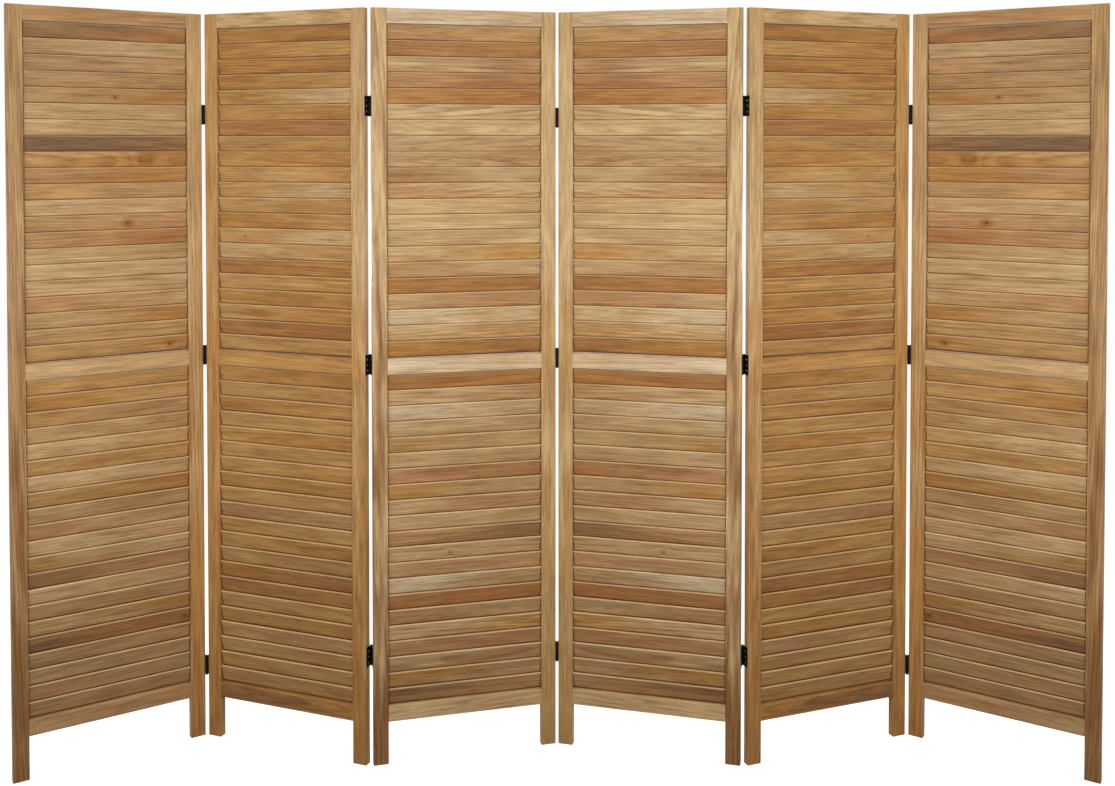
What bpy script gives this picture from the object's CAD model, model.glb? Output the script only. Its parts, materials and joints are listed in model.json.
import json
import math
import random

import bmesh
import bpy
from mathutils import Matrix, Vector


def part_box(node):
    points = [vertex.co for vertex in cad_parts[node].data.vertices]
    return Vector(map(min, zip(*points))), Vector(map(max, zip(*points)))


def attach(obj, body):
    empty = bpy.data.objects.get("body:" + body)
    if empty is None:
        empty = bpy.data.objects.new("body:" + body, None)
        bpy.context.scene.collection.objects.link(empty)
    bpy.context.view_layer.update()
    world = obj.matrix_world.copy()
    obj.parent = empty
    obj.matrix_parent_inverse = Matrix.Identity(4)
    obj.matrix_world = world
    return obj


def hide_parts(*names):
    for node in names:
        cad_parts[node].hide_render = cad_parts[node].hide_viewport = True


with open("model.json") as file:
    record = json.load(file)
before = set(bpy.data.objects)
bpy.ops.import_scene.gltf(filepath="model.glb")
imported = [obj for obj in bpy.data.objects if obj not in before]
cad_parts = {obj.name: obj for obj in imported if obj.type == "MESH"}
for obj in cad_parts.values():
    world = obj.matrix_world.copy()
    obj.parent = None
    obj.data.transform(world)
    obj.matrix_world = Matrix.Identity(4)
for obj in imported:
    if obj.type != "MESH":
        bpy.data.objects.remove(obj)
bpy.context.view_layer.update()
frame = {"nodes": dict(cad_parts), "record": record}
print("frame loaded:", len(frame["nodes"]), "nodes")

bodies = frame["record"]["behaviour"]["bodies"]
bodyOf = {node: body for body, members in bodies.items() for node in members}


# An output socket that can stand in a sum
class Wire:
    def __init__(self, shader, socket):
        self.shader = shader
        self.socket = socket

    def __add__(self, other):
        return self.shader.math("ADD", self, other)

    def __sub__(self, other):
        return self.shader.math("SUBTRACT", self, other)

    def __rsub__(self, other):
        return self.shader.math("SUBTRACT", other, self)

    def __mul__(self, other):
        return self.shader.math("MULTIPLY", self, other)

    def __truediv__(self, other):
        return self.shader.math("DIVIDE", self, other)

    __radd__ = __add__


class Shader:
    def __init__(self, tree):
        self.tree = tree
        tree.nodes.clear()

    def node(self, kind, settings, inputs, out=0):
        made = self.tree.nodes.new(kind)
        for name, value in settings.items():
            setattr(made, name, value)
        for place, value in inputs.items():
            if isinstance(value, Wire):
                self.tree.links.new(value.socket, made.inputs[place])
            else:
                made.inputs[place].default_value = value
        return Wire(self, made.outputs[out]) if made.outputs else None

    def math(self, operation, *values):
        return self.node("ShaderNodeMath", {"operation": operation}, dict(enumerate(values)))

    def vector(self, operation, *values, out=0):
        return self.node("ShaderNodeVectorMath", {"operation": operation}, dict(enumerate(values)), out)

    def absolute(self, value):
        return self.math("ABSOLUTE", value)

    def attribute(self, name, out):
        return self.node("ShaderNodeAttribute", {"attribute_name": name}, {}, out)

    def parts(self, vector):
        split = self.node("ShaderNodeSeparateXYZ", {}, {"Vector": vector}).socket.node
        return [Wire(self, socket) for socket in split.outputs]

    def noise(self, place, stretch, detail, roughness=0.5):
        spread = self.vector("MULTIPLY", place, stretch)
        return self.node("ShaderNodeTexNoise", {}, {
            "Vector": spread, "Scale": 1.0, "Detail": detail, "Roughness": roughness})

    # 0 up to start and 1 from end on, where end may also be the smaller of the two
    def ramp(self, value, start, end):
        return self.node("ShaderNodeMapRange", {"interpolation_type": "SMOOTHSTEP"},
                         {"Value": value, "From Min": start, "From Max": end})

    # sockets 6 and 7 are the two colours of a Mix node that mixes colours, and 2 is its colour output
    def mix(self, factor, first, second, blend="MIX"):
        settings = {"data_type": "RGBA", "blend_type": blend}
        return self.node("ShaderNodeMix", settings, {0: factor, 6: first, 7: second}, 2)

    def stain(self, factor, colour, tint):
        return self.mix(factor, colour, (*tint, 1), "MULTIPLY")


def newMaterial(name):
    material = bpy.data.materials.new(name)
    material.use_nodes = True
    return material, Shader(material.node_tree)


# Panel 3's upper slats turn one by one, so each is a node of its own
panelCount = 6
workingPanel = 3


# A panel's place and directions in plan. The right half of the divider mirrors the left
class Panel:
    def __init__(self, number):
        stiles = (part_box(f"panel_{number}_{side}_stile") for side in ("left", "right"))
        ends = [sum(box, Vector()) / 2 for box in stiles]
        self.number = number
        self.twin = min(number, panelCount + 1 - number)
        self.flip = 1 if number == self.twin else -1
        self.middle = (ends[0] + ends[1]) / 2
        self.middle.z = 0
        self.along = (ends[1] - ends[0]).normalized()
        self.depth = Vector((-self.along.y, self.along.x, 0))

    # x along the panel, y into its depth and z up
    def toPanel(self, point):
        way = point - self.middle
        return Vector((self.flip * way.dot(self.along), way.dot(self.depth), way.z))

    def toRow(self, point):
        level = self.flip * point.x * self.along + point.y * self.depth
        return self.middle + level + Vector((0, 0, point.z))


# Tones of planed and oiled boards, as linear colours
tones = {
    "cream": (0.57, 0.422, 0.258),
    "straw": (0.53, 0.352, 0.168),
    "pale": (0.495, 0.32, 0.152),
    "tan": (0.435, 0.266, 0.118),
    "sand": (0.39, 0.229, 0.098),
    "wheat": (0.445, 0.252, 0.092),
    "honey": (0.44, 0.235, 0.073),
    "amber": (0.39, 0.187, 0.053),
    "rosy": (0.41, 0.219, 0.093),
    "rust": (0.355, 0.162, 0.056),
    "brown": (0.27, 0.14, 0.056),
    "ember": (0.25, 0.115, 0.04),
    "umber": (0.19, 0.105, 0.05),
}

# One word for each board, or two where it changes towards its right or lower end: with a slash halfway, with
# a > early on
frameTones = {
    "panel_1_left_stile": "sand/ember",
    "panel_1_right_stile": "tan/amber",
    "panel_1_rails": "rosy/sand pale tan/rosy",
    "panel_2_left_stile": "wheat/amber",
    "panel_2_right_stile": "pale/amber",
    "panel_2_rails": "straw honey ember/amber",
    "panel_3_left_stile": "straw/ember",
    "panel_3_right_stile": "straw/wheat",
    "panel_3_rails": "cream cream straw/pale",
}
slatTones = {
    (1, "upper"):
        "brown/rust tan/pale sand/rosy sand tan/amber pale/tan pale/tan umber/brown wheat/amber "
        "rosy/amber wheat/sand pale sand/rosy rosy/rust pale/tan straw/pale pale rosy/tan "
        "tan/amber tan/wheat wheat/amber",
    (1, "lower"):
        "wheat amber/wheat wheat/rosy tan pale/wheat wheat/honey pale/tan wheat/amber tan "
        "rosy/tan pale wheat/pale brown>rosy pale tan tan/amber umber>rust sand/rosy tan/sand "
        "rosy/sand sand/rosy",
    (2, "upper"):
        "amber amber/honey amber amber/honey honey/pale honey amber/rust wheat/honey honey/amber "
        "wheat/honey wheat/pale wheat amber/wheat wheat/pale pale/wheat rust/amber wheat/honey "
        "honey wheat/amber rust wheat",
    (2, "lower"):
        "honey/amber wheat amber/honey wheat/honey honey/amber wheat wheat/honey honey wheat "
        "rosy/wheat honey/wheat wheat/amber wheat amber/rust rust/amber wheat/honey honey "
        "wheat/rosy wheat honey/wheat wheat",
    (3, "upper"):
        "rosy/wheat rust/amber pale/rosy rosy/rust amber straw/pale straw/pale pale pale/rosy "
        "rosy/pale rosy/pale straw straw/pale pale/straw straw/honey rosy/pale amber/rust "
        "pale/rosy cream/straw pale/wheat amber/rust",
    (3, "lower"):
        "rust/amber pale/rosy cream/pale pale honey/tan pale rosy/rust honey/tan pale/rosy "
        "pale/tan rosy/brown pale tan/rosy cream/tan rust rosy/tan pale/honey rosy pale/rosy "
        "amber/tan brown/rosy",
}

# Knots by panel and slat: the share of the slat from its left end, the size in metres and how many sizes
# deep the eye lies
slatKnots = {
    (1, 5): (0.55, 0.0028, 1),
    (1, 9): (0.73, 0.006, 2),
    (1, 13): (0.62, 0.0045, 1),
    (1, 21): (0.88, 0.004, 1),
    (1, 38): (0.97, 0.0036, 1),
    (2, 14): (0.2, 0.0018, 0),
    (3, 10): (0.15, 0.0016, 0),
    (3, 33): (0.4, 0.002, 0),
}

# How much one board differs from the next, in metres and degrees
boardSpread = {
    "alongLog": 5.0,
    "fromPith": (0.02, 0.085),
    "grainSlope": 0.03,
    "level": (0.95, 1.05),
    "darkerEnd": (0.9, 0.84, 0.78),
    "tilt": 0.9,
    "twist": 0.35,
    "bow": 0.00018,
    "turnsHalfway": 0.5,
    "turnsEarly": 0.75,
}

# Distances from a knot's middle are measured in the knot's own size
knots = {
    "nowhere": Vector((9, 9, 9)),
    "flatness": 1.5,
    "pushFade": -0.2,
    "ringPush": 0.011,
    "ringEdges": (5.5, 0.8),
    "ringDepth": 0.8,
    "ringTint": (0.72, 0.5, 0.34),
    "eyeEdges": (1.3, 0.75),
    "eyeDepth": 0.85,
    "eyeTone": (0.09, 0.045, 0.022),
}


# Where a board was cut from its log, its two tones and how it strays from true
class Board:
    def __init__(self, words, seed, knot=None):
        rng = random.Random(seed)
        cut = rng.uniform(0, math.tau)
        away = rng.uniform(*boardSpread["fromPith"])
        names = ("alongLog", "grainSlope", "tilt", "twist", "bow")
        alongLog, slope, tilt, twist, bow = ((-boardSpread[name], boardSpread[name]) for name in names)
        self.offset = Vector((rng.uniform(*alongLog), away * math.cos(cut), away * math.sin(cut)))
        self.slope = Vector((1, rng.uniform(*slope), rng.uniform(*slope)))
        level = rng.uniform(*boardSpread["level"])
        self.start = boardSpread["turnsEarly" if ">" in words else "turnsHalfway"]
        first, second = (words.replace(">", "/").split("/") * 2)[:2]
        darker = boardSpread["darkerEnd"] if first == second else (1, 1, 1)
        self.first = [c * level for c in tones[first]]
        self.second = [c * level * s for c, s in zip(tones[second], darker)]
        self.knot = knot
        self.tilt = math.radians(rng.uniform(*tilt))
        self.twist = math.radians(rng.uniform(*twist))
        self.bow = rng.uniform(*bow)

    # x runs along the grain, y across the board's face and z into it
    def mark(self, vert, layers, point, length):
        inLog = self.offset + point.x * self.slope
        vert[layers["boardPlace"]] = inLog + Vector((0, point.y, point.z))
        vert[layers["firstTone"]] = (*self.first, 1)
        vert[layers["secondTone"]] = (*self.second, 1)
        vert[layers["boardShare"]] = point.x / length + self.start
        fromKnot = knots["nowhere"]
        if self.knot:
            share, size, deep = self.knot
            beside = point.x - (share - 0.5) * length
            fromKnot = Vector((beside, point.y * knots["flatness"], point.z)) / size + Vector((0, 0, deep))
        vert[layers["knotPlace"]] = fromKnot


def boardLayers(bm):
    places, colours = ("boardPlace", "knotPlace", "slatPlace"), ("firstTone", "secondTone")
    layers = {name: bm.verts.layers.float_vector.new(name) for name in places}
    layers |= {name: bm.verts.layers.float_color.new(name) for name in colours}
    layers["boardShare"] = bm.verts.layers.float.new("boardShare")
    return layers


# The vertices of each separate board of a mesh, from the top down
def boardsIn(bm):
    left, boards = set(bm.verts), []
    while left:
        board = [left.pop()]
        for vert in board:
            found = {other for edge in vert.link_edges for other in edge.verts} & left
            left -= found
            board.extend(found)
        boards.append(board)
    return sorted(boards, key=lambda board: -sum(vert.co.z for vert in board) / len(board))


meshing = {
    "mergeDistance": 1e-6,
    "sharpAngle": math.radians(50),
}


# The low and the high corner of the box round some points
def corners(points):
    return Vector(map(min, zip(*points))), Vector(map(max, zip(*points)))


def cadCopy(node):
    bm = bmesh.new()
    bm.from_mesh(frame["nodes"][node].data)
    bmesh.ops.remove_doubles(bm, verts=bm.verts, dist=meshing["mergeDistance"])
    return bm


def finishPiece(bm, node, material):
    mesh = bpy.data.meshes.new("wood_" + node)
    bm.to_mesh(mesh)
    bm.free()
    mesh.polygons.foreach_set("use_smooth", [True] * len(mesh.polygons))
    mesh.set_sharp_from_angle(angle=meshing["sharpAngle"])
    mesh.materials.append(material)
    piece = bpy.data.objects.new("wood_" + node, mesh)
    bpy.context.scene.collection.objects.link(piece)
    flats = piece.modifiers.new("flats stay flat", "WEIGHTED_NORMAL")
    flats.keep_sharp = True
    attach(piece, bodyOf[node])
    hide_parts(node)


# Stretches are in cycles a metre along, across and into the board. Depths say how much a pattern darkens
wood = {
    "tongues": {"stretch": (3.4, 60, 60), "detail": 3.0},
    "tongueDepth": 2.4,
    "tongueEdges": (0.1, 0.9),
    "wander": {"stretch": (2.4, 11, 11), "detail": 2.0},
    "wanderDepth": 0.016,
    "ringWidth": 0.0042,
    "ringDepth": 0.26,
    "ringMean": 0.35,
    "lateRise": (0.25, 0.85),
    "lateFall": (1.0, 0.9),
    "clearness": {"stretch": (1.1, 9, 9), "detail": 1.0},
    "clearnessEdges": (0.35, 0.65),
    "leastClearness": 0.2,
    "streaks": {"stretch": (7, 210, 210), "detail": 3.0, "roughness": 0.65},
    "streakDepth": 1.2,
    "fibres": {"stretch": (18, 1100, 1100), "detail": 3.0, "roughness": 0.6},
    "fibreDepth": 1.6,
    "pores": {"stretch": (70, 2400, 2400), "detail": 1.0},
    "poreEdges": (0.64, 0.76),
    "poreDepth": 0.32,
    "mottle": {"stretch": (10, 45, 45), "detail": 2.0},
    "mottleDepth": 0.75,
    "darkerTint": (0.8, 1.0, 1.15),
    "lapEdges": (0.65, 0.91),
    "endEdges": (0.985, 1.0),
    "rimDepth": 1.0,
    "rimTint": (0.26, 0.2, 0.15),
    "sandedEdges": (0.935, 0.965),
    "sandedTone": (0.72, 0.57, 0.36),
    "sandedShare": 0.33,
    "undersideEdges": (-0.9, -0.96),
    "undersideTint": (0.36, 0.3, 0.25),
    "unpolishedEdges": (0.9, 0.97),
    "unpolished": 0.45,
    "roughness": 0.5,
    "fibreRoughness": 0.2,
    "lateRoughness": 0.06,
    "poreRoughness": 0.1,
    "shine": 0.13,
    "oil": 0.02,
    "oilRoughness": 0.4,
    "fibreHeight": 0.5,
    "lateHeight": 0.3,
    "streakHeight": 0.35,
    "poreHeight": 0.5,
    "bump": 0.3,
    "bumpDistance": 0.0003,
}


# The board's two tones, which run into each other in long tongues
def boardTone(shader, place):
    tongues = shader.noise(place, **wood["tongues"])
    share = shader.attribute("boardShare", "Fac") + (tongues - 0.5) * wood["tongueDepth"]
    return shader.mix(shader.ramp(share, *wood["tongueEdges"]), shader.attribute("firstTone", "Color"),
                      shader.attribute("secondTone", "Color"))


# Growth rings round the pith, with a slow pale side and a sharp dark one, pushed aside by a knot
def growthRings(shader, place, knot):
    wander = shader.noise(place, **wood["wander"]) - 0.5
    push = shader.math("EXPONENT", knot * knots["pushFade"])
    radius = shader.vector("LENGTH", shader.vector("MULTIPLY", place, (0, 1, 1)), out=1)
    pushed = radius + wander * wood["wanderDepth"] + push * knots["ringPush"]
    ring = shader.math("FRACT", pushed / wood["ringWidth"])
    return shader.ramp(ring, *wood["lateRise"]) * shader.ramp(ring, *wood["lateFall"])


# Oil has darkened a slat's faces at its ends and where the next slat laps over them, and its sanded edges
# stayed pale. slatPlace runs from -1 to 1 along, across and through a slat, and is 0 on other boards
def slatEdges(shader, colour):
    along, across, through = shader.parts(shader.attribute("slatPlace", "Vector"))
    sanded = shader.ramp(shader.absolute(across), *wood["sandedEdges"])
    darkRim = shader.math("MAXIMUM", shader.ramp(across * through, *wood["lapEdges"]),
                          shader.ramp(shader.absolute(along), *wood["endEdges"]))
    colour = shader.stain((1 - sanded) * darkRim * wood["rimDepth"], colour, wood["rimTint"])
    return shader.mix(sanded * wood["sandedShare"], colour, (*wood["sandedTone"], 1))


def woodMaterial():
    material, shader = newMaterial("Oiled softwood")
    place = shader.attribute("boardPlace", "Vector")
    knot = shader.vector("LENGTH", shader.attribute("knotPlace", "Vector"), out=1)
    late = growthRings(shader, place, knot)
    clearRamp = shader.ramp(shader.noise(place, **wood["clearness"]), *wood["clearnessEdges"])
    clearness = clearRamp * (1 - wood["leastClearness"]) + wood["leastClearness"]

    # streaks a few millimetres wide, single fibres and pores, all measured from their mean
    streaks, fibres, mottle = (shader.noise(place, **wood[name]) for name in ("streaks", "fibres", "mottle"))
    pores = shader.ramp(shader.noise(place, **wood["pores"]), *wood["poreEdges"])
    darker = ((late - wood["ringMean"]) * clearness * wood["ringDepth"]
              + (streaks - 0.5) * wood["streakDepth"] + (fibres - 0.5) * wood["fibreDepth"]
              + pores * wood["poreDepth"] + (mottle - 0.5) * wood["mottleDepth"])
    tint = shader.vector("SUBTRACT", (1, 1, 1), shader.vector("MULTIPLY", darker, wood["darkerTint"]))
    colour = slatEdges(shader, shader.vector("MULTIPLY", boardTone(shader, place), tint))

    # a knot has a dark eye in a stained ring
    ringStain = shader.ramp(knot, *knots["ringEdges"]) * knots["ringDepth"]
    colour = shader.stain(ringStain, colour, knots["ringTint"])
    eye = shader.ramp(knot, *knots["eyeEdges"]) * knots["eyeDepth"]
    colour = shader.mix(eye, colour, (*knots["eyeTone"], 1))

    # faces that look up or down were never polished, and those that look down are grimy
    facing = shader.parts(shader.node("ShaderNodeTexCoord", {}, {}, "Normal"))[2]
    unpolished = shader.ramp(shader.absolute(facing), *wood["unpolishedEdges"])
    colour = shader.stain(shader.ramp(facing, *wood["undersideEdges"]), colour, wood["undersideTint"])
    rough = (wood["roughness"] + (fibres - 0.5) * wood["fibreRoughness"] - late * wood["lateRoughness"]
             + pores * wood["poreRoughness"] + unpolished * wood["unpolished"])
    height = (fibres * wood["fibreHeight"] + late * wood["lateHeight"] + streaks * wood["streakHeight"]
              - pores * wood["poreHeight"])
    normal = shader.node("ShaderNodeBump", {}, {
        "Strength": wood["bump"], "Distance": wood["bumpDistance"], "Height": height})
    surface = shader.node("ShaderNodeBsdfPrincipled", {}, {
        "Base Color": colour, "Roughness": rough, "Normal": normal, "Specular IOR Level": wood["shine"],
        "Coat Weight": wood["oil"], "Coat Roughness": wood["oilRoughness"]})
    shader.node("ShaderNodeOutputMaterial", {}, {"Surface": surface})
    return material


oiled = woodMaterial()
panels = [Panel(number) for number in range(1, panelCount + 1)]

# The tones of a stile change over a little more than its length, so that its ends keep some of both
stileToneLength = 1.25
mirrored = {"left_stile": "right_stile", "right_stile": "left_stile", "rails": "rails"}


# Stiles and rails keep the CAD's joints and holes, and learn where each point lies in its board
def frameBoards(panel, part):
    node = f"panel_{panel.number}_{part}"
    own = f"panel_{panel.twin}_{mirrored[part] if panel.flip < 0 else part}"
    bm = cadCopy(node)
    layers = boardLayers(bm)
    upright = part != "rails"
    for i, (verts, words) in enumerate(zip(boardsIn(bm), frameTones[own].split())):
        board = Board(words, f"{own} {i}")
        points = [panel.toPanel(vert.co) for vert in verts]
        low, high = corners(points)
        size, middle = high - low, (high + low) / 2
        for vert, point in zip(verts, points):
            across, through, up = point - middle
            inBoard = Vector((-up, across, through)) if upright else Vector((across, up, through))
            board.mark(vert, layers, inBoard, stileToneLength * size.z if upright else size.x)
    finishPiece(bm, node, oiled)


for panel in panels:
    for part in mirrored:
        frameBoards(panel, part)
print("stiles and rails dressed")


slat = {
    "length": 0.3525,
    "width": 0.03815,
    "thickness": 0.0055,
    "edgeRadius": 0.00075,
    "edgeSteps": 2,
    "lean": math.radians(13.5),
    "cuts": (-1 / 6, 1 / 6),
    "pegRadius": 0.0025,
    "pegReach": 0.00875,
    "pegSides": 6,
    "pegRoot": 0.001,
}


# One straight slat with its pegs, along X through the origin, light enough to stand 252 times. The cuts
# across it let it bow
def plainSlat():
    bm = bmesh.new()
    body = bmesh.ops.create_cube(bm, size=1)["verts"]
    bmesh.ops.scale(bm, vec=(slat["length"], slat["thickness"], slat["width"]), verts=body)
    longEdges = [edge for edge in bm.edges if edge.calc_length() > slat["length"] / 2]
    bmesh.ops.bevel(bm, geom=longEdges, offset=slat["edgeRadius"], segments=slat["edgeSteps"], profile=0.5,
                    affect="EDGES", material=-1)
    for share in slat["cuts"]:
        bmesh.ops.bisect_plane(bm, geom=bm.verts[:] + bm.edges[:] + bm.faces[:],
                               plane_co=(share * slat["length"], 0, 0), plane_no=(1, 0, 0))
    pegMiddle = (slat["length"] + slat["pegReach"] - slat["pegRoot"]) / 2
    for side in (-1, 1):
        peg = bmesh.ops.create_cone(bm, cap_ends=True, segments=slat["pegSides"],
                                    radius1=slat["pegRadius"], radius2=slat["pegRadius"],
                                    depth=slat["pegReach"] + slat["pegRoot"])["verts"]
        bmesh.ops.rotate(bm, verts=peg, matrix=Matrix.Rotation(math.pi / 2, 3, "Y"))
        bmesh.ops.translate(bm, verts=peg, vec=(side * pegMiddle, 0, 0))
    mesh = bpy.data.meshes.new("plainSlat")
    bm.to_mesh(mesh)
    bm.free()
    return mesh


plain = plainSlat()
slatSize = (slat["length"], slat["width"], slat["thickness"])


# Every slat stands a little out of true, so the dark lines between them vary
def addSlat(bm, layers, panel, middle, board):
    bm.from_mesh(plain)
    bm.verts.ensure_lookup_table()
    for vert in bm.verts[-len(plain.vertices):]:
        x, y, z = vert.co
        board.mark(vert, layers, Vector((x, z, y)), slat["length"])
        vert[layers["slatPlace"]] = [2 * place / size for place, size in zip((x, z, y), slatSize)]
        share = max(-1, min(1, 2 * x / slat["length"]))
        turn = slat["lean"] + board.tilt + board.twist * share
        y += board.bow * (1 - share * share)
        cos, sin = math.cos(turn), math.sin(turn)
        vert.co = panel.toRow(middle + Vector((x, y * cos - z * sin, y * sin + z * cos)))


# The node's slats from the top down, counted from first
def slatPiece(panel, node, words, first):
    source = cadCopy(node)
    middles = []
    for verts in boardsIn(source):
        low, high = corners([panel.toPanel(vert.co) for vert in verts])
        middles.append((low + high) / 2)
    source.free()
    bm = bmesh.new()
    layers = boardLayers(bm)
    for i, (middle, word) in enumerate(zip(middles, words), first):
        board = Board(word, f"slat {panel.twin} {i}", slatKnots.get((panel.twin, i)))
        addSlat(bm, layers, panel, middle, board)
    if panel.flip < 0:
        bmesh.ops.reverse_faces(bm, faces=bm.faces[:])
    finishPiece(bm, node, oiled)


for panel in panels:
    upper, lower = (slatTones[panel.twin, bay].split() for bay in ("upper", "lower"))
    if panel.number == workingPanel:
        for i, word in enumerate(upper, 1):
            slatPiece(panel, f"panel_3_upper_slat_{i:02d}", [word], i)
        slatPiece(panel, "panel_3_lower_slats", lower, len(upper) + 1)
    else:
        slatPiece(panel, f"panel_{panel.number}_slats", upper + lower, 1)
print("slats hung")


hingeMetals = {
    "hinge_leaves": {"colour": (0.004, 0.0036, 0.0033), "metallic": 0.0, "roughness": 0.42, "rubbed": 0.02,
                     "shine": 0.06},
    "hinge_pins": {"colour": (0.012, 0.011, 0.01), "metallic": 0.0, "roughness": 0.35, "rubbed": 0.12,
                   "shine": 0.2},
    "hinge_screws": {"colour": (0.7, 0.7, 0.68), "metallic": 1.0, "roughness": 0.28, "rubbed": 0.3,
                     "shine": 0.5},
}
metalWear = {
    "grit": {"stretch": (1400, 1400, 1400), "detail": 2.0},
    "gritRoughness": 0.25,
    "patches": {"stretch": (110, 110, 110), "detail": 3.0, "roughness": 0.6},
    "patchEdges": (0.56, 0.74),
    "rubbedTone": (0.25, 0.24, 0.23),
    "rubbedRoughness": 0.2,
    "bump": 0.2,
    "bumpDistance": 0.0001,
}


def metalMaterial(name, look):
    material, shader = newMaterial(name)
    place = shader.node("ShaderNodeTexCoord", {}, {}, "Object")
    grit, patches = (shader.noise(place, **metalWear[kind]) for kind in ("grit", "patches"))
    rubbed = shader.ramp(patches, *metalWear["patchEdges"]) * look["rubbed"]
    colour = shader.mix(rubbed, (*look["colour"], 1), (*metalWear["rubbedTone"], 1))
    rough = (look["roughness"] + (grit - 0.5) * metalWear["gritRoughness"]
             + rubbed * metalWear["rubbedRoughness"])
    normal = shader.node("ShaderNodeBump", {}, {
        "Strength": metalWear["bump"], "Distance": metalWear["bumpDistance"], "Height": grit})
    surface = shader.node("ShaderNodeBsdfPrincipled", {}, {
        "Base Color": colour, "Metallic": look["metallic"], "Specular IOR Level": look["shine"],
        "Normal": normal, "Roughness": rough})
    shader.node("ShaderNodeOutputMaterial", {}, {"Surface": surface})
    return material


for ending, look in hingeMetals.items():
    metal = metalMaterial(ending, look)
    for node, thing in frame["nodes"].items():
        if node.endswith(ending):
            thing.data.materials.clear()
            thing.data.materials.append(metal)
print("hinges finished")


studio = {
    "floorSize": 24.0,
    "floorTone": 0.5,
    "floorGlow": 0.95,
    "bounceTone": 0.1,
    "ambient": 0.05,
    "ambientTone": (1, 0.98, 0.95),
    "lamps": {
        "frontLamp": {"place": (0, -1.4, 1.07), "aim": (0, 0, 1.07), "size": (5.0, 0.3), "power": 41.5},
        "backLamp": {"place": (0, 1.4, 1.07), "aim": (0, 0, 1.07), "size": (5.0, 0.3), "power": 41.5},
        "topLamp": {"place": (0, -0.7, 3.1), "aim": (0, -0.7, 0), "size": (4.6, 0.6), "power": 49},
    },
}
white = (1, 1, 1, 1)


# 1 for the camera's own rays and for those that a shiny or clear surface passes on
def seenRays(shader):
    kinds = ("Is Camera Ray", "Is Glossy Ray", "Is Transmission Ray")
    camera, glossy, through = (shader.node("ShaderNodeLightPath", {}, {}, kind) for kind in kinds)
    return shader.math("MAXIMUM", camera, shader.math("MAXIMUM", glossy, through))


def makeFloor():
    bm = bmesh.new()
    bmesh.ops.create_grid(bm, x_segments=1, y_segments=1, size=studio["floorSize"] / 2)
    mesh = bpy.data.meshes.new("floor")
    bm.to_mesh(mesh)
    bm.free()
    material, shader = newMaterial("Pale floor")
    matt, dim = (shader.node("ShaderNodeBsdfDiffuse", {}, {"Color": (tone, tone, tone, 1)})
                 for tone in (studio["floorTone"], studio["bounceTone"]))
    glow = shader.node("ShaderNodeEmission", {}, {"Color": white, "Strength": studio["floorGlow"]})
    bright = shader.node("ShaderNodeAddShader", {}, {0: matt, 1: glow})
    surface = shader.node("ShaderNodeMixShader", {}, {0: seenRays(shader), 1: dim, 2: bright})
    shader.node("ShaderNodeOutputMaterial", {}, {"Surface": surface})
    mesh.materials.append(material)
    floor = bpy.data.objects.new("floor", mesh)
    bpy.context.scene.collection.objects.link(floor)


def makeWorld():
    world = bpy.data.worlds.new("Studio")
    bpy.context.scene.world = world
    world.use_nodes = True
    shader = Shader(world.node_tree)
    soft = shader.node("ShaderNodeBackground", {}, {
        "Color": (*studio["ambientTone"], 1), "Strength": studio["ambient"]})
    seen = shader.node("ShaderNodeBackground", {}, {"Color": white, "Strength": 1.0})
    surface = shader.node("ShaderNodeMixShader", {}, {0: seenRays(shader), 1: soft, 2: seen})
    shader.node("ShaderNodeOutputWorld", {}, {"Surface": surface})


def makeLamps():
    for name, look in studio["lamps"].items():
        light = bpy.data.lights.new(name, "AREA")
        light.shape = "RECTANGLE"
        light.size, light.size_y = look["size"]
        light.energy = look["power"]
        lamp = bpy.data.objects.new(name, light)
        bpy.context.scene.collection.objects.link(lamp)
        lamp.location = look["place"]
        way = Vector(look["aim"]) - Vector(look["place"])
        lamp.rotation_euler = way.to_track_quat("-Z", "Y").to_euler()
        lamp.visible_camera = False


makeFloor()
makeWorld()
makeLamps()
print("studio lit")


# The frame is the part of a wider picture that lies frameDown and frameRight of its middle, in pixels
camera = {
    "imageWidth": 1115,
    "sensorWidth": 36,
    "place": (0, -2.7778, 1.390),
    "pitchDown": math.radians(1.37),
    "focalPixels": 1231.4,
    "frameDown": 216.3,
    "frameRight": 0.5,
}


def makeCamera():
    data = bpy.data.cameras.new("camera")
    data.sensor_width = camera["sensorWidth"]
    data.lens = data.sensor_width * camera["focalPixels"] / camera["imageWidth"]
    data.shift_x = camera["frameRight"] / camera["imageWidth"]
    data.shift_y = -camera["frameDown"] / camera["imageWidth"]
    thing = bpy.data.objects.new("camera", data)
    bpy.context.scene.collection.objects.link(thing)
    thing.location = camera["place"]
    thing.rotation_euler = (math.pi / 2 - camera["pitchDown"], 0, 0)
    bpy.context.scene.camera = thing


makeCamera()
bpy.context.scene.view_settings.view_transform = "Standard"
